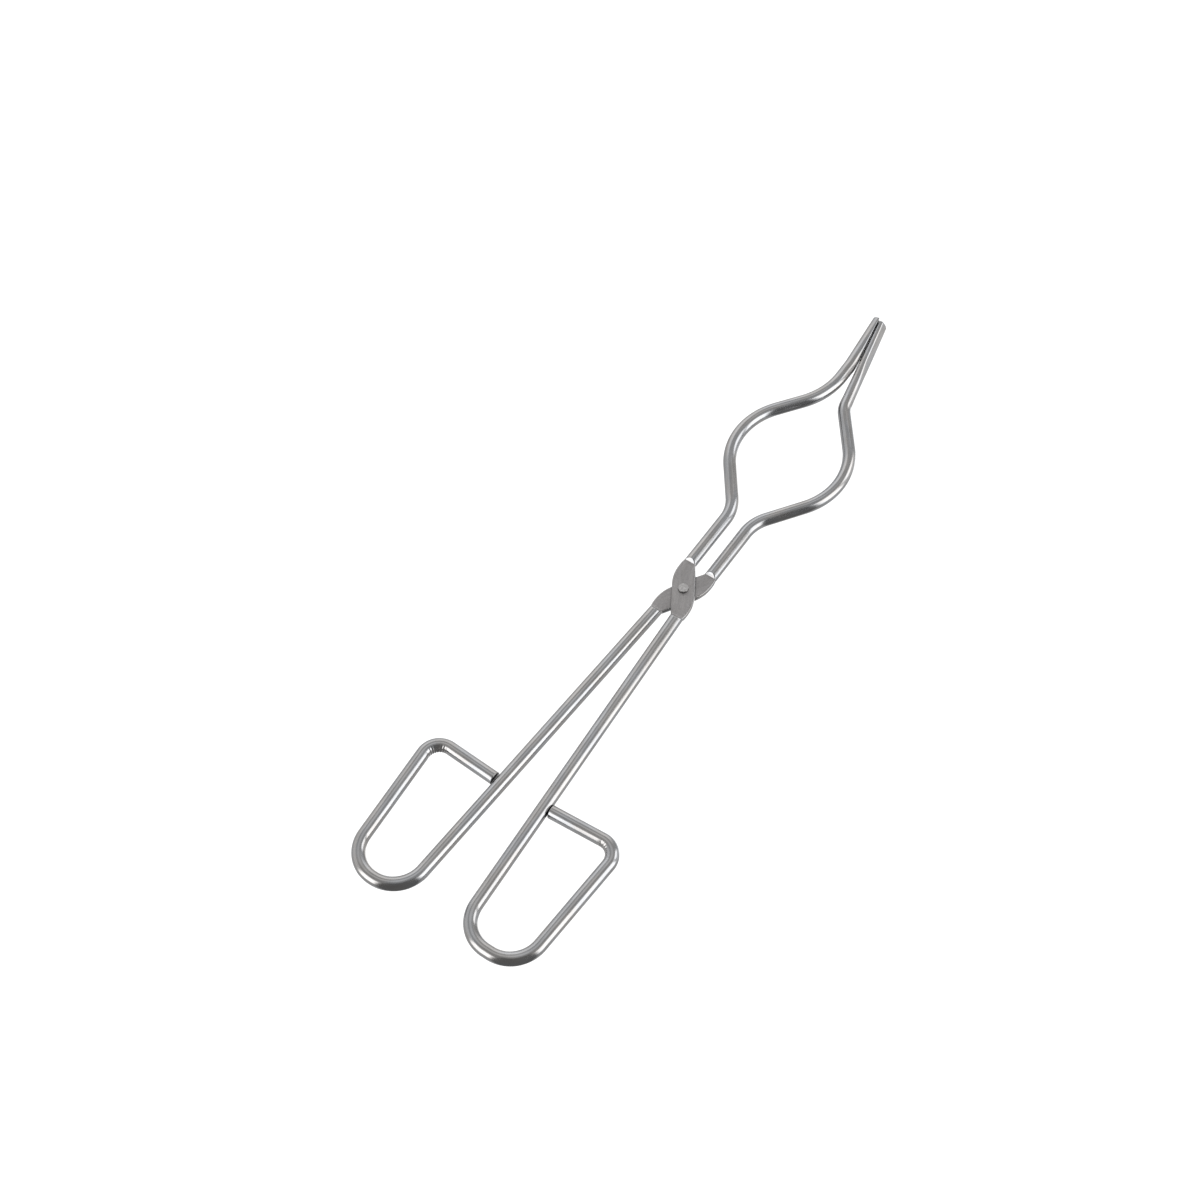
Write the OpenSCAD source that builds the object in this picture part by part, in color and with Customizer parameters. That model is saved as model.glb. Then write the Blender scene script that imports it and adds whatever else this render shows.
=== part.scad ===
// Crucible tongs with a bow: two bent round rods, coined flat where they
// cross and joined there by one peened rivet. The tongs lie flat on z = 0,
// with the jaws towards +X and the finger loops towards -X.

/* [Rod] */
// Diameter of the round rod that both arms are bent from
rod_d = 5; // [4:0.5:6]

/* [Hinge] */
// Thickness of the coined plate of each arm
plate_t = 2.2; // [1.8:0.1:2.6]
// Width of the coined plate, across its two straight flanks
plate_w = 8.5; // [7.5:0.5:9.5]
// Distance between the two shoulders of one plate, along the tongs
plate_len = 22; // [20:1:26]
// Angle between the plate's straight flanks and the tongs' long axis
plate_skew = 31; // [28:1:36]
// Radius of the plate's two rounded flanks
plate_round_r = 14.4; // [12:0.2:16]
// Sideways distance from the rivet to the rod's axis at a shoulder
shoulder_offset = 4.4; // [4:0.1:5]
// Length of the slope from the plate up to the round rod
shoulder_run = 1.1; // [0.5:0.1:2]
// Clearance between the two plates, and under the rivet's upper head
plate_gap = 0.1; // [0.05:0.05:0.2]
// Diameter of the rivet's shank
rivet_d = 3; // [2.5:0.1:3.2]
// Diameter of the rivet's peened heads
rivet_head_d = 3.8; // [3.6:0.1:5]
// Height of each peened head
rivet_head_h = 0.8; // [0.5:0.1:1]
// Radial clearance of the shank in the upper arm, which turns on it
rivet_play = 0.05; // [0.02:0.01:0.1]

/* [Handles] */
// Distance from the rivet to the far end of the finger loops
handle_reach = 154.6; // [140:0.2:170]
// Angle of the lower arm's straight shank to the long axis
lower_shank_angle = 3.3; // [1:0.1:5]
// Angle of the upper arm's straight shank to the long axis
upper_shank_angle = 2.7; // [1:0.1:5]
// Distance from the rivet to the loop's end bar, at its outer corner
bar_reach = 97.5; // [85:0.5:105]
// Sideways distance from the long axis to the loop's outer corner
loop_corner_y = 39.5; // [36:0.5:44]
// Sideways distance from the long axis to the loop's outer side at its end
loop_end_y = 36; // [32:0.5:40]
// Bend radius of the loop's outer corner
loop_corner_r = 6.4; // [4:0.2:9]
// Bend radius of the loop's round end
loop_end_r = 12.2; // [10:0.2:12.4]
// Lean of the end bar from square to the long axis
bar_lean = 3; // [0:0.5:6]
// Gap between the cut end of the bar and the shank
bar_gap = 0.4; // [0.2:0.1:1.5]

/* [Bow] */
// Distance from the rivet to the bend where the neck turns outwards
bow_start = 40; // [32:1:46]
// Bend radius where the neck turns outwards
bow_start_r = 16.5; // [10:0.5:22]
// Angle of the bow's rising side
bow_rise = 36; // [30:1:42]
// Angle of the bow's falling side
bow_fall = 37; // [30:1:42]
// Distance from the rivet to the crossing of the bow's two straight sides
bow_peak = 72.8; // [68:0.2:78]
// Bend radius of the bow's round middle
bow_r = 27; // [20:1:32]

/* [Jaws] */
// Distance from the rivet to the start of the flat jaw faces
jaw_start = 123.5; // [118:0.5:128]
// Length of the flat jaw faces, up to the tips
jaw_len = 24.4; // [20:0.1:30]
// Sideways lean of the closed jaws' seam from the long axis
jaw_lean = 9.8; // [0:0.2:12]
// Distance from the rivet to the point that the seam leans from
lean_start = 116.2; // [108:0.1:120]
// Angle between the lower jaw's rod and its flat face
lower_jaw_taper = 2.3; // [1:0.1:4]
// Angle between the upper jaw's rod and its flat face, which thins this jaw more
upper_jaw_taper = 4.8; // [3:0.1:6]
// Depth of the lower jaw's flat face where it starts
lower_jaw_cut = 0.8; // [0.3:0.05:1]
// Depth of the upper jaw's flat face where it starts
upper_jaw_cut = 0.3; // [0.1:0.05:1]
// Turn of the upper arm where its flat face starts
upper_jaw_knee = 4.5; // [2:0.5:7]
// Bend radius into the jaw of the upper arm, which bends further
upper_jaw_r = 30; // [14:1:36]
// Bend radius into the jaw of the lower arm
lower_jaw_r = 10; // [6:1:16]
// Corner taken off the end of the lower jaw, on its outer side
lower_tip_corner = 0.9; // [0.2:0.1:2]
// Corner taken off the end of the upper jaw, on its outer side
upper_tip_corner = 0.4; // [0.2:0.1:2]
// Height of the upper jaw's tip over the lower jaw's
jaw_rise = 1.2; // [0:0.1:2]
// Gap between the closed jaws
jaw_gap = 0.4; // [0.2:0.1:1]
// Distance between the grooves across a jaw's face
groove_pitch = 1.5; // [1.2:0.1:2.5]
// Depth of each groove
groove_depth = 0.35; // [0.2:0.05:0.5]
// Slant of the grooves from upright
groove_slant = 25; // [0:5:40]

/* [Hidden] */
$fn = 48;
rod_r = rod_d / 2;
shoulder_x = plate_len / 2;

// The rod swells by a hair where it is bent, and the straight lengths lap
// into each bend, so that both join into one solid
bend_rod_r = rod_r + 0.02;
bend_lap = 0.3;

// Heights: the lower arm lies on the surface, and its plate is at mid-rod
lower_z = bend_rod_r;
upper_z = lower_z + plate_t + plate_gap;

// Bend radius at the knee where the upper jaw's flat face starts
knee_r = 40;

// Reach of the jaws' tips, which are cut square to the tongs
jaw_reach = jaw_start + jaw_len * cos(jaw_lean);

// The origin is under the middle of the tongs, so the rivet is off it
rivet_x = (handle_reach - jaw_reach) / 2;

// The upper arm is set down at both shoulders, so that its loop comes level
// with the lower arm's, and its jaw nearly so
set_front = atan((upper_z - lower_z - jaw_rise) / (jaw_reach - shoulder_x));
set_rear = atan((upper_z - lower_z) / (handle_reach - shoulder_x));

// More than any thickness here, for solids that only cut
beyond = 40;

// Unit vector at an angle from +X
function heading(a) = [cos(a), sin(a)];

// Unit vector along v
function unit(v) = v / norm(v);

// Crossing of the line through p at angle a with the line through q at b
function crossing(p, a, q, b) =
  let (n = [-sin(b), cos(b)])
  p + heading(a) * ((q - p) * n) / (heading(a) * n);

// Angle turned at corner b of the route a, b, c, anticlockwise positive
function turn(a, b, c) =
  let (u = unit(b - a), w = unit(c - b))
  atan2(u[0] * w[1] - u[1] * w[0], u * w);

// Length that a bend of radius r takes from each side of corner b
function set_back(a, b, c, r) = r * tan(abs(turn(a, b, c)) / 2);

// Straight length of rod between two points
module straight(p, q) {
  translate([p[0], p[1], 0])
    rotate([0, 0, atan2(q[1] - p[1], q[0] - p[0])])
      rotate([0, 90, 0])
        cylinder(d = rod_d, h = norm(q - p));
}

// Length of rod bent round corner b of the route a, b, c
module bend(a, b, c, r) {
  t = turn(a, b, c);
  side = sign(t);
  u = unit(b - a);
  inward = side * [-u[1], u[0]];
  start = b - u * set_back(a, b, c, r);
  centre = start + inward * r;
  out = atan2(-inward[1], -inward[0]);
  translate([centre[0], centre[1], 0])
    rotate([0, 0, min(out, out + t)])
      rotate_extrude(angle = abs(t))
        translate([r, 0])
          circle(r = bend_rod_r);
}

// Rod along a route of corners, each inner corner bent to its radius. The
// straight lengths reach a little way into the bends
module bent_rod(route, radii) {
  last = len(route) - 1;
  for (i = [0 : last - 1]) {
    p = route[i];
    q = route[i + 1];
    u = unit(q - p);
    cut_p = i == 0 ? 0 : set_back(route[i - 1], p, q, radii[i - 1]) - bend_lap;
    cut_q = i == last - 1 ? 0 : set_back(p, q, route[i + 2], radii[i]) - bend_lap;
    straight(p + u * cut_p, q - u * cut_q);
  }
  for (i = [1 : last - 1])
    bend(route[i - 1], route[i], route[i + 1], radii[i - 1]);
}

// What the slopes of a shoulder cut from a rod that starts at p
module shoulder_cut(p, angle) {
  rise = rod_r - plate_t / 2;
  high = 2 * rise;
  slope = [
    [-rod_r, plate_t / 2],
    [0, plate_t / 2],
    [shoulder_run * high / rise, plate_t / 2 + high],
    [-rod_r, plate_t / 2 + high],
  ];
  translate([p[0], p[1], 0])
    rotate([0, 0, angle])
      for (side = [0, 1])
        mirror([0, 0, side])
          rotate([90, 0, 0])
            linear_extrude(height = beyond, center = true)
              polygon(slope);
}

// Half of the plate's outline: one flank is straight to the end, and the
// other is rounded past the hinge
module half_plate_outline() {
  flank = plate_w / 3;
  intersection() {
    translate([0, -plate_w / 2])
      square([plate_len, plate_w]);
    union() {
      translate([0, -plate_w / 2])
        square([flank, plate_w]);
      translate([flank, plate_w / 2 - plate_round_r])
        circle(r = plate_round_r);
    }
  }
}

// Coined plate with its rivet hole, reaching a little into both rods
module plate(hole_r) {
  linear_extrude(height = plate_t, center = true)
    difference() {
      intersection() {
        rotate(plate_skew)
          union() {
            half_plate_outline();
            rotate(180)
              half_plate_outline();
          }
        square([plate_len + shoulder_run, 3 * plate_w], center = true);
      }
      circle(r = hole_r);
    }
}

// Rear half of an arm, with its finger loop on the +Y side
module handle(shank_angle) {
  shank_dir = 180 - shank_angle;
  at_plate = [-shoulder_x, shoulder_offset];
  loop_end_x = rod_r - handle_reach;
  inner_end = [
    loop_end_x,
    shoulder_offset - (loop_end_x + shoulder_x) * tan(shank_angle),
  ];
  outer_end = [loop_end_x, loop_end_y];
  corner = [-bar_reach, loop_corner_y];
  off_shank = at_plate + [0, (rod_r + bar_gap) / cos(shank_angle)];
  bar_end = crossing(corner, 270 - bar_lean, off_shank, shank_dir);
  difference() {
    bent_rod(
      [bar_end, corner, outer_end, inner_end, at_plate],
      [loop_corner_r, loop_end_r, loop_end_r]
    );
    shoulder_cut(at_plate, shank_dir);
  }
}

// What is cut from a jaw: the flat face, the grooves across it, the end and
// the outer corner of the end. The seam runs along X from the origin, at an
// angle of lean to the tongs. The flat goes on behind the grooves, and ends
// in a low step or where the rod bends away
module jaw_cut(lean, tip_w, corner) {
  face = jaw_gap / 2;
  first = 4;
  count = floor((jaw_len - first) / groove_pitch);
  run_out = 12;
  translate([-run_out, face - beyond, -beyond / 2])
    cube([jaw_len + beyond, beyond, beyond]);
  translate([jaw_len, 0, 0])
    rotate([0, 0, -lean]) {
      translate([0, -beyond / 2, -beyond / 2])
        cube([beyond, beyond, beyond]);
      translate([0, (face + tip_w) / cos(lean), 0])
        rotate([0, 0, 45])
          cube([corner, corner, beyond], center = true);
    }
  for (i = [0 : count - 1])
    translate([first + i * groove_pitch, face, 0])
      rotate([0, groove_slant, 0])
        rotate([0, 0, 45])
          cube([groove_depth * sqrt(2), groove_depth * sqrt(2), beyond], center = true);
}

// Front half of an arm, with its bow on the +Y side and the seam leaning to
// that side by the given angle
module front(lean, taper, cut, knee, jaw_r, corner) {
  at_plate = [shoulder_x, shoulder_offset];
  turn_out = [bow_start, shoulder_offset];
  peak = crossing(turn_out, bow_rise, [bow_peak, 0], 90);
  seam = [jaw_start, (jaw_start - lean_start) * tan(lean)];
  jaw_dir = lean - taper;
  jaw_root = seam + (rod_r + jaw_gap / 2 - cut) * heading(lean + 90);
  turn_in = crossing(peak, -bow_fall, jaw_root, jaw_dir - knee);
  jaw_end = jaw_root + (jaw_len + rod_d) * heading(jaw_dir);
  tip_w = rod_d - cut - jaw_len * tan(taper);
  start = [at_plate, turn_out, peak, turn_in];
  difference() {
    if (knee == 0)
      bent_rod(concat(start, [jaw_end]), [bow_start_r, bow_r, jaw_r]);
    else
      bent_rod(
        concat(start, [jaw_root, jaw_end]),
        [bow_start_r, bow_r, jaw_r, knee_r]
      );
    shoulder_cut(at_plate, 0);
    translate([seam[0], seam[1], 0])
      rotate([0, 0, lean])
        jaw_cut(lean, tip_w, corner);
  }
}

// Turns everything about the line across the tongs at x
module set_at(x, angle) {
  translate([x, 0, 0])
    rotate([0, angle, 0])
      translate([-x, 0, 0])
        children();
}

// Arm under the hinge, with its loop on the +Y side and its bow on the
// -Y side
module lower_arm() {
  color("silver")
    translate([rivet_x, 0, lower_z]) {
      handle(lower_shank_angle);
      mirror([0, 1, 0]) {
        plate(rivet_d / 2);
        front(
          -jaw_lean, lower_jaw_taper, lower_jaw_cut, 0, lower_jaw_r, lower_tip_corner
        );
      }
    }
}

// Arm over the hinge, with its loop on the -Y side and its bow on the
// +Y side
module upper_arm() {
  color("silver")
    translate([rivet_x, 0, upper_z]) {
      plate(rivet_d / 2 + rivet_play);
      set_at(-shoulder_x, -set_rear)
        mirror([0, 1, 0])
          handle(upper_shank_angle);
      set_at(shoulder_x, set_front)
        front(
          jaw_lean, upper_jaw_taper, upper_jaw_cut, upper_jaw_knee, upper_jaw_r,
          upper_tip_corner
        );
    }
}

// Solid rivet with a peened head at each end, held by the lower arm
module rivet() {
  shank_r = rivet_d / 2;
  head_r = rivet_head_d / 2;
  edge = rivet_head_h / 3;
  below = lower_z - plate_t / 2;
  above = upper_z + plate_t / 2 + plate_gap;
  half_profile = [
    [0, below - rivet_head_h],
    [head_r - edge, below - rivet_head_h],
    [head_r, below - rivet_head_h + edge],
    [head_r, below],
    [shank_r, below],
    [shank_r, above],
    [head_r, above],
    [head_r, above + rivet_head_h - edge],
    [head_r - edge, above + rivet_head_h],
    [0, above + rivet_head_h],
  ];
  color("gainsboro")
    translate([rivet_x, 0, 0])
      rotate_extrude()
        polygon(half_profile);
}

lower_arm();
upper_arm();
rivet();
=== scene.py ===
"""Crucible tongs with a bow, lying on a white floor.

Each arm is one bent steel rod, swept along its route with a section that changes on the way: round rod,
coined plate at the hinge, round rod again, and the flat grooved jaw. The rivet is peened at both ends.
Design values are in millimetres. Everything in the scene is in metres.
"""

import math

import bpy
import numpy as np
from mathutils import Matrix, Vector


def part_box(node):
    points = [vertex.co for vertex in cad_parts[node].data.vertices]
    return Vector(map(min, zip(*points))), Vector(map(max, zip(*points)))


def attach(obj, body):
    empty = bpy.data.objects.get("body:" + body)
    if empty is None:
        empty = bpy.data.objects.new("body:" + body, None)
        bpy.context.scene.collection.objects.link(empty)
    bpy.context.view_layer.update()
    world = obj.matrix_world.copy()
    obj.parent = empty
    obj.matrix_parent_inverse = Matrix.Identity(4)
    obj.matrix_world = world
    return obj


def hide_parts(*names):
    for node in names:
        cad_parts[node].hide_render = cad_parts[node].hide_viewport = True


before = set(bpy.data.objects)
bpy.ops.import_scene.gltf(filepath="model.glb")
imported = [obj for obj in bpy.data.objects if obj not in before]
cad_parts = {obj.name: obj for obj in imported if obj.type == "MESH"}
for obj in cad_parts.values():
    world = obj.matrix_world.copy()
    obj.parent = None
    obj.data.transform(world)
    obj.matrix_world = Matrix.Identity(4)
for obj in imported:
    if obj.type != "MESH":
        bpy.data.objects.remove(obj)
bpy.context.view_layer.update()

MM = 0.001

# -------------------------------------------------------------- design values, as in the CAD, in mm

ROD_R = 2.5
PLATE_T = 2.2
PLATE_W = 8.5
PLATE_HALF = 11.0  # half the plate's length, from shoulder to shoulder
PLATE_SKEW = math.radians(31)
PLATE_ROUND_R = 14.4
PLATE_GAP = 0.1
SHOULDER_OFFSET = 4.4
SHOULDER_RUN = 1.1
BORE_R = 1.5  # the lower arm's, where the rivet is fixed
BORE_CLEARANCE = 0.05  # round the rivet in the upper arm

HANDLE_REACH = 154.6
LOWER_SHANK_ANGLE = math.radians(3.3)
UPPER_SHANK_ANGLE = math.radians(2.7)
BAR_REACH = 97.5
BAR_LEAN = math.radians(3)
BAR_GAP = 0.4
LOOP_CORNER_Y = 39.5
LOOP_CORNER_R = 6.4
LOOP_END_Y = 36.0
LOOP_END_R = 12.2

BOW_START = 40.0
BOW_START_R = 16.5
BOW_RISE = math.radians(36)
BOW_FALL = math.radians(37)
BOW_PEAK = 72.8
BOW_R = 27.0

JAW_START = 123.5
JAW_LEN = 24.4
JAW_LEAN = math.radians(9.8)
LEAN_START = 116.2
JAW_GAP = 0.4
JAW_RISE = 1.2  # of the upper jaw's tip over the lower jaw's
KNEE_R = 40.0

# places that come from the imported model
RIVET_LOW, RIVET_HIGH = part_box("rivet")
PIVOT_X = (RIVET_LOW.x + RIVET_HIGH.x) / 2 / MM
LOWER_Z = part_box("lower_arm")[1].z / 2 / MM  # height of the middle of the lower plate
UPPER_Z = LOWER_Z + PLATE_T + PLATE_GAP
JAW_REACH = JAW_START + JAW_LEN * math.cos(JAW_LEAN)

# -------------------------------------------------------------- surface details, finer than in the CAD, in mm

PLATE_ROUNDING = 0.45
SLOPE_FOOT = 0.12  # how softly a shoulder's slope leaves the plate
RIM_RINGS = ((0.0, 0.14), (0.05, 0.06), (0.12, 0.02), (0.3, 0.0))  # from a cut end, and how far drawn in
RIM_REACH = 0.35

WRINKLE_FROM = 0.12  # curvature, in 1/mm, from which the inside of a bend wrinkles
WRINKLE_BLEND = 0.02  # how much more of it brings the wrinkles to their whole depth
WRINKLE_DEPTH = 0.06
WRINKLE_PITCH = 1.3

GROOVE_PITCH = 1.5  # of two sets of grooves that cross each other
GROOVE_DEPTH = 0.3
GROOVE_SLANT = math.radians(25)

TIP_CLOSING = 0.13  # how much of the gap each jaw closes at its tip
TIP_TURN = 6.0  # length over which the rings turn square to the tongs
FACE_ROUNDING = 0.2
FACE_TOP_ROUNDING = 0.42
TIP_TOP_ROUNDING = 0.15  # the same near the tip

FACET_START = 112.0  # where the lower jaw's pressed facet starts
FACET_FULL = 127.0  # and where it has its whole width
FACET_TILT = math.radians(51)  # from straight up to the outer side
FACET_ROUNDING = 0.3
NO_FACET = -FACET_ROUNDING

# how the two jaws differ: the last two are surface details, and the others are as in the CAD
LOWER_JAW = {
    "lean": -JAW_LEAN,
    "taper": math.radians(2.3),  # from the rod's middle line to its flat
    "cut": 0.8,  # depth of the flat at its root
    "bend_r": 10.0,
    "knee": 0.0,
    "corner": 0.3,  # rounding of the tip's outer side
    "facet": 0.4,  # depth of the facet
}
UPPER_JAW = {
    "lean": JAW_LEAN,
    "taper": math.radians(4.8),
    "cut": 0.3,
    "bend_r": 30.0,
    "knee": math.radians(4.5),  # a second turn of the rod, at the flat's root
    "corner": 0.15,
    "facet": NO_FACET,
}

# -------------------------------------------------------------- mesh resolution, in mm

AROUND = 96  # points round the rod
STRAIGHT_STEP = 1.5
BEND_STEP = math.radians(1.5)
PLATE_STEP = 0.3
SLOPE_STEP = 0.08
JAW_STEP = 0.12


# -------------------------------------------------------------- plane geometry


def heading(angle):
    return np.array([math.cos(angle), math.sin(angle)])


def unit(v):
    return v / np.linalg.norm(v)


def crossing(p, a, q, b):
    """Crossing of the line through p at angle a with the line through q at angle b."""
    n = np.array([-math.sin(b), math.cos(b)])
    return p + heading(a) * ((q - p) @ n) / (heading(a) @ n)


def smooth_step(x):
    x = np.clip(x, 0, 1)
    return x * x * (3 - 2 * x)


def soft_min(x, limit, blend):
    """The lower of x and limit, rounded where they cross."""
    near = np.maximum(blend - np.abs(x - limit), 0) / blend
    return np.minimum(x, limit) - near * near * blend / 4


def length_along(points):
    """Distance travelled along a row of points, at each of them."""
    steps = np.linalg.norm(np.diff(points[:, :2], axis=0), axis=1)
    return np.concatenate([[0], np.cumsum(steps)])


def along_route(route, radii):
    """Points and headings, in rows of x, y, angle, along a route of corners bent to the radii."""
    rows = []
    start = route[0]
    for i in range(1, len(route)):
        here = route[i]
        before = unit(here - route[i - 1])
        angle = math.atan2(before[1], before[0])
        if i < len(route) - 1:
            after = unit(route[i + 1] - here)
            turn = math.atan2(before[0] * after[1] - before[1] * after[0], before @ after)
            back = radii[i - 1] * math.tan(abs(turn) / 2)
        else:
            turn, back = 0.0, 0.0
        stop = here - before * back
        count = max(2, int(np.linalg.norm(stop - start) / STRAIGHT_STEP))
        for t in np.linspace(0, 1, count + 1)[:-1]:
            rows.append([*(start + (stop - start) * t), angle])
        if turn:
            side = math.copysign(1, turn)
            centre = stop + side * radii[i - 1] * np.array([-before[1], before[0]])
            count = max(4, int(abs(turn) / BEND_STEP))
            for t in np.linspace(0, 1, count + 1)[:-1]:
                a = angle + turn * t
                out = np.array([math.sin(a), -math.cos(a)]) * side * radii[i - 1]
                rows.append([*(centre + out), a])
            start = here + after * back
        else:
            rows.append([*stop, angle])
    return np.array(rows)


# -------------------------------------------------------------- one arm: stations along its rod
#
# An arm is laid out with its finger loop on the +Y side and its bow on the -Y side, and the upper arm is
# mirrored afterwards. A station holds the middle of the section and its heading, how high and how wide
# the section is on each side, how near the jaw's flat, the tip's outer side and the facet lie, how matt
# the steel is, and how far along the jaw the station is.

COLUMNS = X, Y, ANGLE, HALF_T, LEFT, RIGHT, FACE, TIP, MATTE, ALONG_JAW, FACET = range(11)
CLEAR = 20.0  # a limit far enough out to cut nothing from the rod


def stations(rows, half_t=CLEAR, left=ROD_R, right=ROD_R, face=CLEAR, tip=CLEAR, matte=0.0):
    """Rows of x, y, angle with the rest of a station filled in."""
    full = np.zeros((len(rows), len(COLUMNS)))
    full[:, :3] = rows
    full[:, HALF_T] = half_t
    full[:, LEFT] = left
    full[:, RIGHT] = right
    full[:, FACE] = face
    full[:, TIP] = tip
    full[:, MATTE] = matte
    full[:, FACET] = CLEAR
    return full


def slope_height(distance):
    """Half thickness of the rod at a distance from the plate's end, up the slope of the shoulder."""
    eased = (distance + np.sqrt(distance**2 + SLOPE_FOOT**2)) / 2
    return PLATE_T / 2 + eased * (ROD_R - PLATE_T / 2) / SHOULDER_RUN


def slope_stations(rows, plate_end):
    """Adds dense stations up the shoulder's slope at the end of a stretch of rod that meets the plate."""
    at_end = rows[-1] if plate_end == "last" else rows[0]
    back = -1.0 if plate_end == "last" else 1.0
    reach = SHOULDER_RUN * 1.6
    matte_reach = 0.2
    distance = np.arange(0, reach, SLOPE_STEP)
    ahead = heading(at_end[2]) * back
    dense = np.array([[*(at_end[:2] + ahead * d), at_end[2]] for d in distance])
    keep = np.linalg.norm(rows[:, :2] - at_end[:2], axis=1) > reach
    matte = 1 - smooth_step(distance / matte_reach)
    slope = stations(dense, half_t=slope_height(distance), matte=matte)
    rod = stations(rows[keep])
    return np.vstack([rod, slope[::-1]]) if plate_end == "last" else np.vstack([slope, rod])


def handle_stations(shank_angle):
    """From the cut end of the loop's bar, round the loop and down the shank to the plate."""
    at_plate = np.array([-PLATE_HALF, SHOULDER_OFFSET])
    loop_end_x = ROD_R - HANDLE_REACH
    inner_end_y = SHOULDER_OFFSET - (loop_end_x + PLATE_HALF) * math.tan(shank_angle)
    inner_end = np.array([loop_end_x, inner_end_y])
    outer_end = np.array([loop_end_x, LOOP_END_Y])
    corner = np.array([-BAR_REACH, LOOP_CORNER_Y])
    off_shank = at_plate + np.array([0, (ROD_R + BAR_GAP) / math.cos(shank_angle)])
    bar_end = crossing(corner, math.radians(270) - BAR_LEAN, off_shank, math.pi - shank_angle)
    route = [bar_end, corner, outer_end, inner_end, at_plate]
    return slope_stations(along_route(route, [LOOP_CORNER_R, LOOP_END_R, LOOP_END_R]), "last")


def plate_flank(x):
    """Height in Y of the plate's +Y flank: rounded behind the hinge, then straight to the shoulder."""
    slope = math.tan(PLATE_SKEW)
    line = PLATE_W / 2 / math.cos(PLATE_SKEW) - slope * x
    straight_end = PLATE_W / 3
    tangent_x = PLATE_W / 2 * math.sin(PLATE_SKEW) - straight_end * math.cos(PLATE_SKEW)
    tangent_y = PLATE_W / 2 * math.cos(PLATE_SKEW) + straight_end * math.sin(PLATE_SKEW)
    centre_x = tangent_x - PLATE_ROUND_R * math.sin(PLATE_SKEW)
    centre_y = tangent_y - PLATE_ROUND_R * math.cos(PLATE_SKEW)
    arc = centre_y + np.sqrt(np.maximum(PLATE_ROUND_R**2 - (x - centre_x) ** 2, 0))
    flank = np.where(x < tangent_x, arc, line)

    # the ends run into the sides of the rod
    ease = 4.0
    rear_arc = centre_y + math.sqrt(PLATE_ROUND_R**2 - (-PLATE_HALF - centre_x) ** 2)
    rear = SHOULDER_OFFSET + ROD_R - rear_arc
    front = -SHOULDER_OFFSET + ROD_R - (PLATE_W / 2 / math.cos(PLATE_SKEW) - slope * PLATE_HALF)
    flank = flank + rear * smooth_step((-PLATE_HALF + ease - x) / ease)
    return flank + front * smooth_step((x - PLATE_HALF + ease) / ease)


def plate_stations(shank_angle):
    """Across the coined plate, from the rear shoulder to the front one."""
    x = np.arange(-PLATE_HALF + PLATE_STEP, PLATE_HALF - PLATE_STEP / 2, PLATE_STEP)
    along = (x + PLATE_HALF) / (2 * PLATE_HALF)
    middle = SHOULDER_OFFSET * (1 - 2 * smooth_step(along))
    turned_by = 0.15  # share of the plate's length after which its sections are square to X
    straightened = smooth_step(along / turned_by)
    rows = np.column_stack([x, middle, -shank_angle * (1 - straightened)])
    high = plate_flank(x)
    low = -plate_flank(-x)
    return stations(rows, half_t=PLATE_T / 2, left=high - middle, right=middle - low, matte=1.0)


def front_stations(jaw):
    """From the plate along the neck, round the bow and out to the jaw's tip.

    Also returns how many of the stations come before the jaw's.
    """
    lean = jaw["lean"]
    at_plate = np.array([PLATE_HALF, SHOULDER_OFFSET])
    turn_out = np.array([BOW_START, SHOULDER_OFFSET])
    peak = crossing(turn_out, BOW_RISE, np.array([BOW_PEAK, 0.0]), math.pi / 2)
    seam = np.array([JAW_START, (JAW_START - LEAN_START) * math.tan(lean)])
    jaw_dir = lean - jaw["taper"]
    seam_normal = heading(lean + math.pi / 2)
    jaw_root = seam + (ROD_R + JAW_GAP / 2 - jaw["cut"]) * seam_normal
    turn_in = crossing(peak, -BOW_FALL, jaw_root, jaw_dir - jaw["knee"])
    jaw_end = jaw_root + heading(jaw_dir) * (JAW_REACH - jaw_root[0]) / math.cos(jaw_dir)
    route = [at_plate, turn_out, peak, turn_in]
    radii = [BOW_START_R, BOW_R, jaw["bend_r"]]
    if jaw["knee"]:
        route.append(jaw_root)
        radii.append(KNEE_R)
    rows = along_route([*route, jaw_end], radii)

    # from a little past the corner where the rod bends into the jaw, the rings lie closer
    fine_from = turn_in[0] + 4
    rod = slope_stations(rows[rows[:, 0] < fine_from], "first")
    fine = rows[rows[:, 0] >= fine_from]
    length = length_along(fine)
    even = np.append(np.arange(0, length[-1], JAW_STEP), length[-1])
    fine = np.column_stack([np.interp(even, length, fine[:, k]) for k in range(3)])
    middle = fine[:, :2]
    left = length[-1] - even

    closing = TIP_CLOSING * smooth_step((TIP_TURN - left) / TIP_TURN)
    face = (middle - seam) @ seam_normal - JAW_GAP / 2 + closing
    into_corner = np.clip(1 - left / jaw["corner"], 0, 1)
    outer = ROD_R - jaw["corner"] * (1 - np.sqrt(1 - into_corner**2))
    squared = fine[:, 2] * (1 - smooth_step(1 - left / TIP_TURN))
    tip = stations(np.column_stack([middle, squared]), face=face, tip=outer)
    tip[:, ALONG_JAW] = (middle - seam) @ heading(lean)
    pressed = np.clip((fine[:, 0] - FACET_START) / (FACET_FULL - FACET_START), 0, 1)
    tip[:, FACET] = ROD_R + FACET_ROUNDING - (jaw["facet"] + FACET_ROUNDING) * pressed

    front = np.vstack([rod, tip])
    front[:, Y] *= -1
    front[:, ANGLE] *= -1
    return front, len(rod)


# -------------------------------------------------------------- one arm: the swept surface


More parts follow.
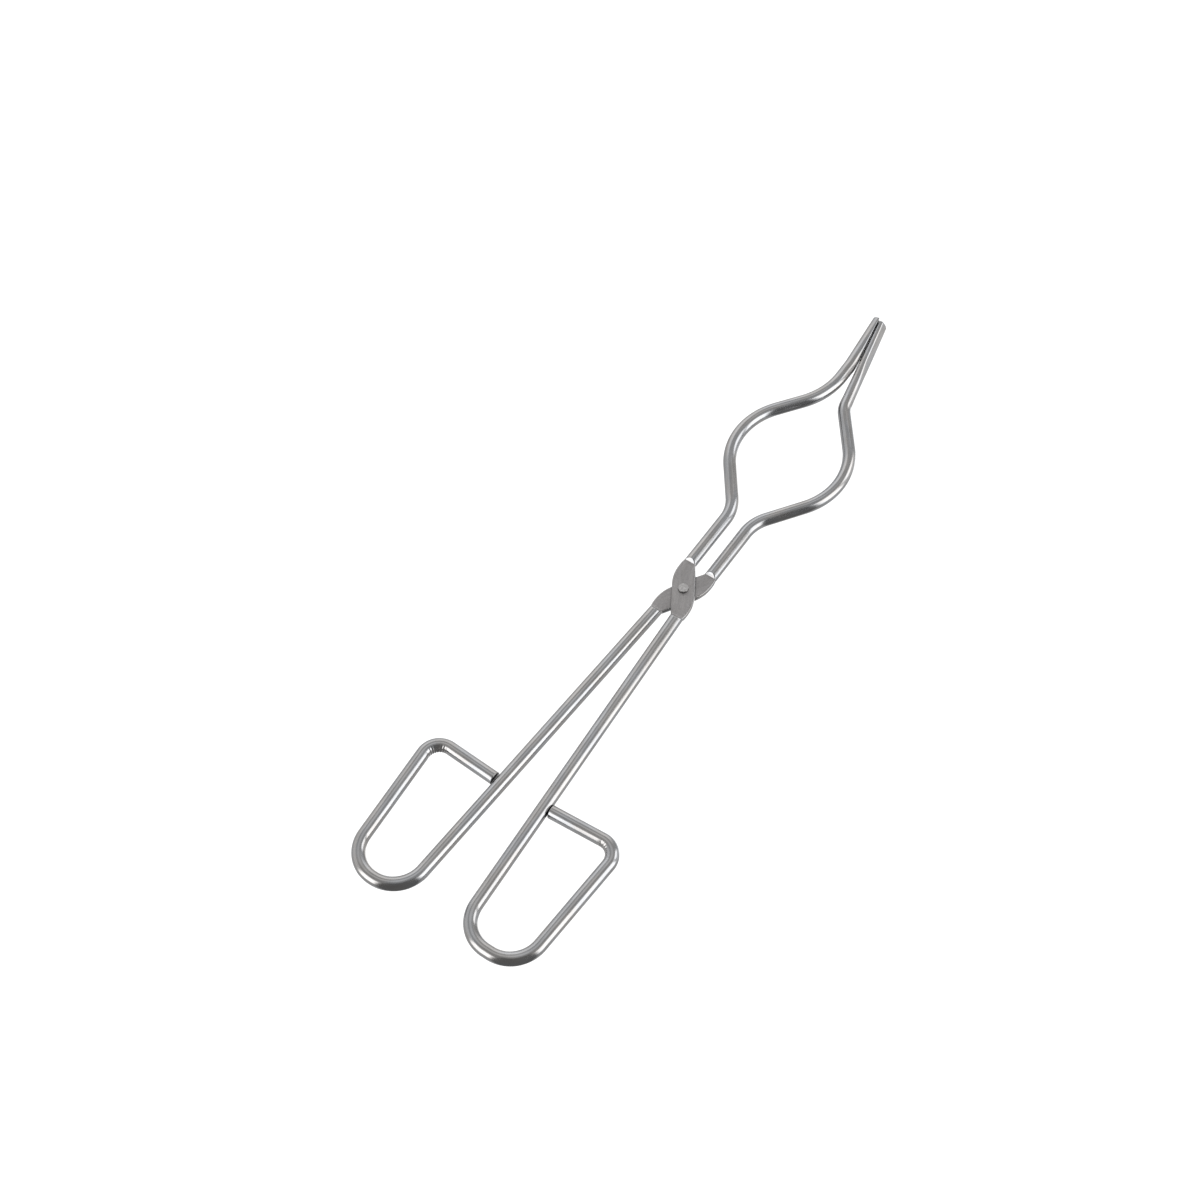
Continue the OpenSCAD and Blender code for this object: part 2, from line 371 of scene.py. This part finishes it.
def groove_depth_at(t, up):
    """Depth of the crossed grooves on a jaw's face, t along it and up across it."""
    depth = np.zeros(np.broadcast(t, up).shape)
    for way in (-1, 1):
        phase = (t + way * up * math.tan(GROOVE_SLANT)) / GROOVE_PITCH
        valley = 1 - np.abs((phase % 1) - 0.5) * 4
        depth = np.maximum(depth, np.clip(valley, 0, 1))
    first, last = 3.0, JAW_LEN - 0.6
    fade_in, fade_out = 0.6, 0.3
    fade = smooth_step((t - first) / fade_in) * smooth_step((last - t) / fade_out)
    edge_from, edge_run, edge_loss = 0.9, 0.8, 0.85  # the grooves are shallower near the face's edges
    shallower = 1 - edge_loss * smooth_step((np.abs(up) - edge_from) / edge_run)
    return GROOVE_DEPTH * depth * fade * shallower


def wrinkles(every, c, s):
    """How the rod's radius changes on the inside of the tightest bends, where the steel wrinkles."""
    turned = np.gradient(np.unwrap(every[:, ANGLE]))
    shortest = 1e-3
    stepped = np.maximum(np.linalg.norm(np.gradient(every[:, :2], axis=0), axis=1), shortest)
    curve = np.where(every[:, MATTE] > 0, 0, turned / stepped)
    tight = smooth_step((np.abs(curve) - WRINKLE_FROM) / WRINKLE_BLEND)[:, None]
    inside = np.clip(c * np.sign(curve)[:, None], 0, 1) ** 2
    travelled = np.cumsum(stepped)[:, None]
    wave = np.sin(2 * math.pi * travelled / WRINKLE_PITCH + 2 * s)
    return 1 - WRINKLE_DEPTH / ROD_R * tight * inside * wave


def sections(every, jaw_from):
    """Across and up for every point of every section, in mm from the section's middle.

    Across is positive to the left of the way that the rod runs, and the jaw's flat is on the left.
    """
    turn = -math.pi / 2 + 2 * math.pi * (np.arange(AROUND) + 0.5) / AROUND
    c = np.cos(turn)[None, :]
    s = np.sin(turn)[None, :]

    def column(k):
        return every[:, k][:, None]

    half_t = column(HALF_T)
    up = soft_min(ROD_R * s, half_t, PLATE_ROUNDING)
    up = -soft_min(-up, half_t, PLATE_ROUNDING)

    # the flat of the plate spreads its points evenly from flank to flank
    flat = np.sqrt(np.clip(1 - (half_t / ROD_R) ** 2, 1e-6, 1))
    share = np.clip(np.abs(c) / flat, 0, 1)
    spread = np.where(c > 0, column(LEFT) - ROD_R, -(column(RIGHT) - ROD_R))
    across = ROD_R * c + spread * share

    wrinkle = wrinkles(every, c, s)
    round_rod = half_t >= CLEAR
    across = np.where(round_rod, across * wrinkle, across)
    up = np.where(round_rod, up * wrinkle, up)

    # the facet pressed along the lower jaw's upper outer side
    towards = -across * math.sin(FACET_TILT) + up * math.cos(FACET_TILT)
    pressed = towards - soft_min(towards, column(FACET), FACET_ROUNDING)
    across = across + pressed * math.sin(FACET_TILT)
    up = up - pressed * math.cos(FACET_TILT)

    # the jaw's flat and grooved face on the left, and its tip's rounding on the right
    t = every[:, ALONG_JAW]
    groove = np.zeros_like(across)
    groove[jaw_from:] = groove_depth_at(t[jaw_from:, None], up[jaw_from:])
    face = column(FACE)
    groove_edge = 0.1
    on_face = smooth_step((across - face + groove_edge) / groove_edge)
    tip_from, tip_run = JAW_LEN - 2.5, 2.0
    near_tip = smooth_step((t - tip_from) / tip_run)[:, None]
    top_rounding = FACE_TOP_ROUNDING - (FACE_TOP_ROUNDING - TIP_TOP_ROUNDING) * near_tip
    rounding = np.where(up > 0, top_rounding, FACE_ROUNDING)
    across = soft_min(across, face - groove * on_face, rounding)
    across = -soft_min(-across, column(TIP), FACE_ROUNDING)
    return across, up


def with_cut_ends(every, across, up):
    """The same, with both ends of the rod cut square and their rims broken."""
    near_ends = np.zeros(len(every), bool)
    rims = {}
    for end, inward in ((0, 1), (-1, -1)):
        station = every[end]
        middle = (across[end].max() + across[end].min()) / 2
        rims[end] = []
        for step, drawn_in in RIM_RINGS:
            ring = station.copy()
            ring[:2] += heading(station[ANGLE]) * inward * step
            share = 1 - drawn_in / ROD_R
            rims[end].append((ring, middle + (across[end] - middle) * share, up[end] * share))
        near_ends |= np.linalg.norm(every[:, :2] - station[:2], axis=1) < RIM_REACH
    first, last = rims[0], rims[-1][::-1]
    return [
        np.vstack([[rim[k] for rim in first], rows[~near_ends], [rim[k] for rim in last]])
        for k, rows in enumerate((every, across, up))
    ]


def tube_faces(rings, around):
    """Quads along the rod and a fan over each end, whose middles are the last two vertices."""
    index = np.arange(rings * around).reshape(rings, around)
    a = index[:-1]
    b = np.roll(index[:-1], -1, axis=1)
    c = np.roll(index[1:], -1, axis=1)
    d = index[1:]
    quads = np.stack([a, b, c, d], axis=2).reshape(-1, 4)
    first_middle = rings * around
    fans = []
    for k in range(around):
        after = (k + 1) % around
        fans.append([first_middle, index[0, after], index[0, k]])
        fans.append([first_middle + 1, index[-1, k], index[-1, after]])
    return quads.tolist() + fans


def arm_surface(shank_angle, jaw, height_at, mirrored):
    """Vertices and faces of an arm, with each vertex's place in the straight rod and how matt it is."""
    handle = handle_stations(shank_angle)
    plate = plate_stations(shank_angle)
    front, before_jaw = front_stations(jaw)
    every = np.vstack([handle, plate, front])
    across, up = sections(every, len(handle) + len(plate) + before_jaw)
    every, across, up = with_cut_ends(every, across, up)

    side = np.column_stack([-np.sin(every[:, ANGLE]), np.cos(every[:, ANGLE])])
    xy = every[:, None, :2] + across[:, :, None] * side[:, None, :]
    z = height_at(every[:, X])[:, None] + up
    if mirrored:
        xy = xy * np.array([1, -1])
    points = np.concatenate([xy, z[:, :, None]], axis=2)
    points[:, :, 0] += PIVOT_X
    verts = np.vstack([points.reshape(-1, 3), points[0].mean(0), points[-1].mean(0)])
    faces = tube_faces(*across.shape)
    if mirrored:
        faces = [f[::-1] for f in faces]

    length = length_along(every)
    far_along = np.broadcast_to(length[:, None], across.shape)
    straight = np.stack([far_along, across, up], axis=2).reshape(-1, 3)
    straight = np.vstack([straight, [[0, 0, 0], [length[-1], 0, 0]]])
    edge_depth, edge_run = 0.22, 0.16  # the plate's edges stay bright
    on_flat = smooth_step((np.abs(up) - PLATE_T / 2 + edge_depth) / edge_run)
    matte = (every[:, MATTE][:, None] * on_flat).reshape(-1)
    sawn_end, polished_tip = 0.6, 0.0
    return verts, faces, straight, np.append(matte, [sawn_end, polished_tip])


def lower_height(x):
    return np.full(len(x), LOWER_Z)


def upper_height(x):
    """Height of the upper arm's rod, which slopes down from the hinge both ways."""
    drop = UPPER_Z - LOWER_Z
    front = np.clip((x - PLATE_HALF) / (JAW_REACH - PLATE_HALF), 0, 1)
    rear = np.clip((-x - PLATE_HALF) / (HANDLE_REACH - PLATE_HALF), 0, 1)
    return UPPER_Z - (drop - JAW_RISE) * front - drop * rear


# -------------------------------------------------------------- meshes to objects


def new_object(name, verts, faces):
    """An object from vertices in mm."""
    mesh = bpy.data.meshes.new(name)
    mesh.from_pydata((np.asarray(verts) * MM).tolist(), [], faces)
    mesh.validate()
    mesh.update()
    obj = bpy.data.objects.new(name, mesh)
    bpy.context.scene.collection.objects.link(obj)
    return obj


def circle(turns, radius):
    """Points of a circle round the pivot."""
    angles = [2 * math.pi * k / turns for k in range(turns)]
    return [[math.cos(a) * radius + PIVOT_X, math.sin(a) * radius] for a in angles]


def bore(arm, radius):
    """Drills the rivet's hole through an arm's plate."""
    turns = 64
    low, high = -5.0, 15.0
    ring = circle(turns, radius)
    verts = [[*p, low] for p in ring] + [[*p, high] for p in ring]
    faces = [[k, (k + 1) % turns, (k + 1) % turns + turns, k + turns] for k in range(turns)]
    faces += [list(range(turns))[::-1], list(range(turns, 2 * turns))]
    cutter = new_object("cutter", verts, faces)
    cut = arm.modifiers.new("bore", "BOOLEAN")
    cut.operation = "DIFFERENCE"
    cut.solver = "EXACT"
    cut.object = cutter
    depsgraph = bpy.context.evaluated_depsgraph_get()
    drilled = bpy.data.meshes.new_from_object(
        arm.evaluated_get(depsgraph), preserve_all_data_layers=True, depsgraph=depsgraph
    )
    arm.modifiers.clear()
    solid = arm.data
    arm.data = drilled
    drilled.name = arm.name
    bpy.data.meshes.remove(solid)
    bpy.data.objects.remove(cutter)


def finish_shading(obj, material, sharp):
    """Gives the object its material, smooth with edges that turn more than sharp degrees."""
    obj.data.materials.clear()
    obj.data.materials.append(material)
    obj.data.shade_smooth()
    obj.data.set_sharp_from_angle(angle=math.radians(sharp))


def make_arm(name, node, body, shank_angle, jaw, height_at, mirrored, bore_r, material):
    verts, faces, straight, matte = arm_surface(shank_angle, jaw, height_at, mirrored)
    arm = new_object(name, verts, faces)
    place = arm.data.attributes.new("straight", "FLOAT_VECTOR", "POINT")
    place.data.foreach_set("vector", straight.astype(np.float32).reshape(-1))
    dull = arm.data.attributes.new("matte", "FLOAT", "POINT")
    dull.data.foreach_set("value", matte.astype(np.float32))
    bore(arm, bore_r)
    finish_shading(arm, material, sharp=40)
    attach(arm, body)
    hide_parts(node)


def make_rivet(material):
    """The rivet: a round shank, peened at both ends into a low button with a hammered crown."""
    turns = 96
    low = RIVET_LOW.z / MM
    high = RIVET_HIGH.z / MM
    head_r = (RIVET_HIGH.x - RIVET_LOW.x) / 2 / MM
    head_h = 0.8
    bevel = 0.16
    flats = 8
    flat_depth = 0.05  # as a share of the radius
    dish_depth, dish = 0.05, 0.45  # depth in mm, and share of the radius
    mark_depth, marks_from, marks_run = 0.03, 0.35, 0.4
    rim_foot = 0.97  # share of the radius at the rim's foot
    shank = BORE_R / head_r

    def rim(angle):
        """Radius of the head, beaten into soft flats."""
        turn = (angle / (2 * math.pi) * flats + 0.2) % 1 - 0.5
        return head_r * (1 - flat_depth * (1 - (2 * turn) ** 2))

    def crown(share, angle):
        """Drop of the crown below its top: a dish in the middle and shallow hammer marks round it."""
        marks = mark_depth * (1 + math.cos(flats * angle + 0.9))
        marks *= smooth_step((share - marks_from) / marks_run)
        return float(dish_depth * (1 - smooth_step(share / dish)) + marks)

    # share of the rim's radius and drop below the head's top, with None for the crown's own drop
    profile = [(share, None) for share in np.linspace(0.04, 1 - bevel / head_r, 14)]
    for k in range(1, 5):
        a = k / 4 * math.pi / 2
        profile.append((1 - bevel / head_r * (1 - math.sin(a)), bevel * (1 - math.cos(a))))
    profile += [(rim_foot, head_h), (shank, head_h)]

    verts = []
    for side in (-1, 1):
        for share, drop in profile if side < 0 else profile[::-1]:
            for k in range(turns):
                angle = 2 * math.pi * k / turns
                r = BORE_R if share == shank else share * rim(angle)
                fall = crown(share, angle) if drop is None else drop
                if drop is not None and drop < head_h:
                    fall += crown(1.0, angle) * (1 - drop / head_h)
                z = low + fall if side < 0 else high - fall
                verts.append([PIVOT_X + r * math.cos(angle), r * math.sin(angle), z])
    rings = len(verts) // turns
    faces = []
    for base in range(0, (rings - 1) * turns, turns):
        for k in range(turns):
            after = (k + 1) % turns
            faces.append([base + k, base + after, base + turns + after, base + turns + k])
    faces.append(list(range(turns))[::-1])
    faces.append([(rings - 1) * turns + k for k in range(turns)])
    rivet = new_object("peened_rivet", verts, faces)
    finish_shading(rivet, material, sharp=35)
    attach(rivet, "lower")
    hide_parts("rivet")


# -------------------------------------------------------------- materials and stage


class Nodes:
    """Short names for the nodes of one node tree. A value is a number or another node's socket."""

    def __init__(self, tree):
        self.tree = tree

    def new(self, kind):
        return self.tree.nodes.new(kind)

    def link(self, source, socket):
        self.tree.links.new(source, socket)

    def put(self, socket, value):
        if isinstance(value, bpy.types.NodeSocket):
            self.link(value, socket)
        else:
            socket.default_value = value

    def maths(self, operation, *values):
        node = self.new("ShaderNodeMath")
        node.operation = operation
        for socket, value in zip(node.inputs, values):
            self.put(socket, value)
        return node.outputs[0]

    def product(self, a, b):
        return self.maths("MULTIPLY", a, b)

    def ramp(self, value, start, stop, low=0.0, high=1.0):
        node = self.new("ShaderNodeMapRange")
        node.interpolation_type = "SMOOTHSTEP"
        self.put(node.inputs["Value"], value)
        self.put(node.inputs["From Min"], start)
        self.put(node.inputs["From Max"], stop)
        self.put(node.inputs["To Min"], low)
        self.put(node.inputs["To Max"], high)
        return node.outputs["Result"]

    def between(self, value, start, full_from, full_to, stop):
        """1 from full_from to full_to, fading to 0 at start and at stop."""
        return self.product(self.ramp(value, start, full_from), self.ramp(value, stop, full_to))

    def mix(self, share, low, high):
        node = self.new("ShaderNodeMix")
        self.put(node.inputs[0], share)
        self.put(node.inputs[2], low)
        self.put(node.inputs[3], high)
        return node.outputs[0]

    def tint(self, share, low, high):
        node = self.new("ShaderNodeMix")
        node.data_type = "RGBA"
        self.put(node.inputs[0], share)
        self.put(node.inputs[6], low)
        self.put(node.inputs[7], high)
        return node.outputs[2]

    def noise(self, vector, scale=1.0, detail=3.0, roughness=0.55):
        node = self.new("ShaderNodeTexNoise")
        node.inputs["Scale"].default_value = scale
        node.inputs["Detail"].default_value = detail
        node.inputs["Roughness"].default_value = roughness
        self.link(vector, node.inputs["Vector"])
        return node.outputs["Fac"]

    def stretched(self, vector, factors):
        node = self.new("ShaderNodeVectorMath")
        node.operation = "MULTIPLY"
        node.inputs[1].default_value = factors
        self.link(vector, node.inputs[0])
        return node.outputs[0]

    def attribute(self, name, output):
        node = self.new("ShaderNodeAttribute")
        node.attribute_name = name
        return node.outputs[output]


def steel(name, drawn):
    """Stainless steel with fine marks, soft warm and cool patches, and painted shade that darkens its colour
    in crevices, between parts and round the rivet's sides.

    Drawn rod has lines along it and finer rings round it from grinding, and is matt and pebbled where it
    was coined. A piece that is not drawn is matt and hammered all over.
    """
    material = bpy.data.materials.new(name)
    material.use_nodes = True
    n = Nodes(material.node_tree)
    shader = material.node_tree.nodes["Principled BSDF"]
    shader.inputs["Metallic"].default_value = 1.0

    # the place of the marks, in mm
    if drawn:
        at = n.attribute("straight", "Vector")
        matte = n.attribute("matte", "Fac")
        coined_dark, coined_light = (0.455, 0.438, 0.434, 1), (0.548, 0.532, 0.530, 1)
        # occlusion range over which the painted crevice shade comes in on the arms
        painted_shade_from, painted_shade_to = 0.25, 0.78
    else:
        at = n.stretched(n.new("ShaderNodeTexCoord").outputs["Object"], (1 / MM, 1 / MM, 1 / MM))
        matte = 1.0
        coined_dark, coined_light = (0.54, 0.525, 0.52, 1), (0.84, 0.83, 0.82, 1)
        # the rivet's painted shade comes in sooner, darkening its sides and foot
        painted_shade_from, painted_shade_to = 0.50, 0.92

    lines = n.noise(n.stretched(at, (0.06, 3.2, 3.2)), detail=4.0)
    rings = n.noise(n.stretched(at, (4.5, 0.5, 0.5)))
    pebbles = n.noise(at, scale=2.4, detail=4.0, roughness=0.65)
    patches = n.noise(n.stretched(at, (0.11, 0.45, 0.45)), detail=2.0)
    warmth = n.noise(n.stretched(at, (0.05, 0.3, 0.3)), scale=1.3, detail=1.0)
    polish = n.maths("ADD", n.product(lines, 0.6), n.product(rings, 0.4))

    # colour
    warm, cool = (0.585, 0.570, 0.560, 1), (0.575, 0.582, 0.598, 1)
    bright = n.tint(n.ramp(warmth, 0.38, 0.62), warm, cool)
    coined = n.tint(n.ramp(pebbles, 0.35, 0.65), coined_dark, coined_light)
    colour = n.tint(n.product(matte, 0.9), bright, coined)
    worn = n.ramp(patches, 0.3, 0.7, 0.90, 1.05)
    marked = n.ramp(polish, 0.35, 0.65, 0.94, 1.05)
    # painted shade: ambient occlusion darkens the base colour in crevices, in the gaps between the plates and
    # on the rivet's sides, where shade falls
    painted_crevice_shade = n.new("ShaderNodeAmbientOcclusion")
    painted_crevice_shade.samples = 8
    painted_crevice_shade.inputs["Distance"].default_value = 1.1 * MM
    shade = n.ramp(painted_crevice_shade.outputs["AO"], painted_shade_from, painted_shade_to, 0.18, 1.0)
    scaled = n.new("ShaderNodeVectorMath")
    scaled.operation = "SCALE"
    n.link(colour, scaled.inputs[0])
    n.link(n.product(shade, n.product(worn, marked)), scaled.inputs["Scale"])
    n.link(scaled.outputs[0], shader.inputs["Base Color"])

    # gloss
    smooth = n.ramp(polish, 0.3, 0.7, 0.12, 0.22)
    rough = n.ramp(pebbles, 0.3, 0.7, 0.38, 0.52)
    n.link(n.mix(matte, smooth, rough), shader.inputs["Roughness"])

    # relief
    bump = n.new("ShaderNodeBump")
    bump.inputs["Strength"].default_value = 0.35
    bump.inputs["Distance"].default_value = 0.03 * MM
    n.link(n.mix(matte, n.product(polish, 0.15), pebbles), bump.inputs["Height"])
    n.link(bump.outputs["Normal"], shader.inputs["Normal"])
    return material


WHITE = 1.2  # the brightness of the floor and the sky to the camera


def make_floor():
    """A white floor that shows no shadow to the camera, as in a cut-out product picture."""
    half = 4.0 / MM
    corners = [(-half, -half, 0), (half, -half, 0), (half, half, 0), (-half, half, 0)]
    floor = new_object("floor", corners, [(0, 1, 2, 3)])
    material = bpy.data.materials.new("floor_white")
    material.use_nodes = True
    nodes = material.node_tree.nodes
    link = material.node_tree.links.new
    shader = nodes["Principled BSDF"]
    shader.inputs["Base Color"].default_value = (0.9, 0.9, 0.9, 1)
    shader.inputs["Roughness"].default_value = 0.9
    glow = nodes.new("ShaderNodeEmission")
    glow.inputs["Strength"].default_value = WHITE
    path = nodes.new("ShaderNodeLightPath")
    seen = nodes.new("ShaderNodeMixShader")
    link(path.outputs["Is Camera Ray"], seen.inputs["Fac"])
    link(shader.outputs["BSDF"], seen.inputs[1])
    link(glow.outputs["Emission"], seen.inputs[2])
    link(seen.outputs["Shader"], nodes["Material Output"].inputs["Surface"])
    floor.data.materials.append(material)
    floor.visible_glossy = False


FAR_SIDE = math.radians(37.69)  # azimuth of the side that the camera looks towards


def make_world():
    """A studio: a white wall ahead, grey flanks and ceiling, softboxes, and a dark wall behind.

    Angles are in degrees, azimuth from the far side and up from the floor's level.
    """
    world = bpy.data.worlds.new("studio")
    bpy.context.scene.world = world
    world.use_nodes = True
    n = Nodes(world.node_tree)
    turn = n.new("ShaderNodeVectorRotate")
    turn.rotation_type = "Z_AXIS"
    turn.inputs["Angle"].default_value = -FAR_SIDE
    n.link(n.new("ShaderNodeTexCoord").outputs["Generated"], turn.inputs["Vector"])
    way = n.new("ShaderNodeSeparateXYZ")
    n.link(turn.outputs["Vector"], way.inputs["Vector"])
    azimuth = n.maths("DEGREES", n.maths("ARCTAN2", way.outputs["Y"], way.outputs["X"]))
    up = n.maths("DEGREES", n.maths("ARCSINE", way.outputs["Z"]))
    aside = n.maths("ABSOLUTE", azimuth)
    right = n.product(azimuth, -1)

    # the walls all round, a grey ring over them, the ceiling and the ground
    wall = n.mix(n.ramp(up, 6, 22), 0.74, 0.92)
    flank = n.mix(n.ramp(azimuth, -40, 40), 0.40, 0.60)
    sky = n.mix(n.ramp(aside, 24, 46), wall, flank)
    sky = n.mix(n.ramp(up, 38, 48), sky, 0.40)
    ceiling = n.mix(n.ramp(aside, 35, 75), 0.62, 0.36)
    sky = n.mix(n.ramp(up, 57, 66), sky, ceiling)
    sky = n.mix(n.ramp(up, 3, -3), sky, 0.47)

    # the dark wall behind the camera, and a tall softbox on each side
    behind = n.product(n.ramp(aside, 127, 142), n.ramp(up, 78, 66))
    sky = n.mix(behind, sky, 0.14)
    softbox = n.product(n.between(aside, 91, 101, 127, 138), n.between(up, -9, 2, 40, 52))
    sky = n.mix(softbox, sky, 1.9)

    # a strip light on the right for the jaws, bright above and dim below, and a glare from the ground
    strip = n.product(n.between(right, 58, 64, 84, 92), n.between(up, -20, -12, 38, 44))
    sky = n.mix(strip, sky, n.mix(n.ramp(up, 9, 17), 0.66, 1.7))
    off_glare = n.maths("ABSOLUTE", n.maths("ADD", azimuth, 30))
    glare = n.product(n.ramp(up, -22, -30), n.ramp(off_glare, 42, 26))
    sky = n.mix(glare, sky, 1.3)

    seen = n.mix(n.new("ShaderNodeLightPath").outputs["Is Camera Ray"], sky, WHITE)
    n.link(seen, world.node_tree.nodes["Background"].inputs["Color"])


def make_camera():
    """The camera stands over the handles' side and looks down along the tongs."""
    target = Vector((PIVOT_X * MM - 0.01895, 0.0232, 0.0025))
    distance = 0.7789
    elevation = math.radians(57.22)
    azimuth = FAR_SIDE - math.pi
    roll = math.radians(-3.615)
    level = math.cos(elevation)
    back = Vector((level * math.cos(azimuth), level * math.sin(azimuth), math.sin(elevation)))
    data = bpy.data.cameras.new("camera")
    data.sensor_fit = "HORIZONTAL"
    data.sensor_width = 36
    data.angle = math.radians(31.236)
    data.clip_start = 0.01
    camera = bpy.data.objects.new("camera", data)
    bpy.context.scene.collection.objects.link(camera)
    upright = (-back).to_track_quat("-Z", "Y").to_matrix().to_4x4()
    stand = Matrix.Translation(target + back * distance)
    camera.matrix_world = stand @ upright @ Matrix.Rotation(roll, 4, "Z")
    bpy.context.scene.camera = camera


# -------------------------------------------------------------- the scene

arm_steel = steel("arm_steel", drawn=True)
rivet_steel = steel("rivet_steel", drawn=False)

make_arm(
    name="lower_arm_rod",
    node="lower_arm",
    body="lower",
    shank_angle=LOWER_SHANK_ANGLE,
    jaw=LOWER_JAW,
    height_at=lower_height,
    mirrored=False,
    bore_r=BORE_R,
    material=arm_steel,
)
make_arm(
    name="upper_arm_rod",
    node="upper_arm",
    body="upper",
    shank_angle=UPPER_SHANK_ANGLE,
    jaw=UPPER_JAW,
    height_at=upper_height,
    mirrored=True,
    bore_r=BORE_R + BORE_CLEARANCE,
    material=arm_steel,
)
make_rivet(rivet_steel)

make_floor()
make_camera()
make_world()
bpy.context.scene.view_settings.view_transform = "Standard"
